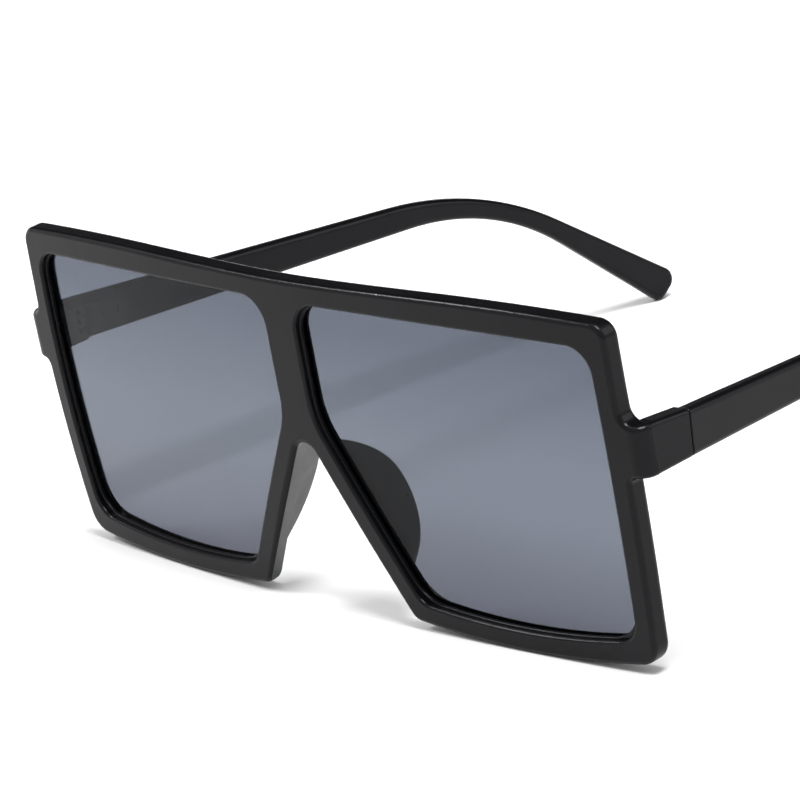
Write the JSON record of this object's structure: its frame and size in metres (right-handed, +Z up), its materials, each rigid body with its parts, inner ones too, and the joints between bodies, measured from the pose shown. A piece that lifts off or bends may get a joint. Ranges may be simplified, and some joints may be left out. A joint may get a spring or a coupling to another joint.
{
  "type": "sunglasses",
  "caption": "Oversized flat-top sunglasses with a one-piece moulded front, grey tinted lenses and folding temples on barrel hinges.",
  "frame": {"origin": "middle of the footprint, on the plane that the lower rims and temple tips rest on", "axes": "+X to the wearer's left, +Y from the lenses back along the temples, +Z up"},
  "size_m": [0.1592, 0.1528, 0.0628],
  "materials": {
    "frame_plastic": "satin",
    "lens_tint": "gloss",
    "hinge_black": "satin"
  },
  "bodies": {
    "front": {"front_frame": "frame_plastic", "lens_left": "lens_tint", "lens_right": "lens_tint", "front_leaf_left": "hinge_black", "front_leaf_right": "hinge_black", "hinge_screw_left": "hinge_black", "hinge_screw_right": "hinge_black", "front_rivets_left": "hinge_black", "front_rivets_right": "hinge_black"},
    "left_temple": {"temple_left": "frame_plastic", "temple_leaf_left": "hinge_black", "temple_rivets_left": "hinge_black"},
    "right_temple": {"temple_right": "frame_plastic", "temple_leaf_right": "hinge_black", "temple_rivets_right": "hinge_black"}
  },
  "joints": [
    {"name": "left_fold", "type": "hinge", "parent": "front", "child": "left_temple", "pos_m": [0.0749, -0.06019, 0.04009], "axis": [0, 0.0558, 0.9984], "range_deg": [0, 85.5]},
    {"name": "right_fold", "type": "hinge", "parent": "front", "child": "right_temple", "pos_m": [-0.0749, -0.06019, 0.04009], "axis": [0, -0.0558, -0.9984], "range_deg": [0, 80]}
  ]
}
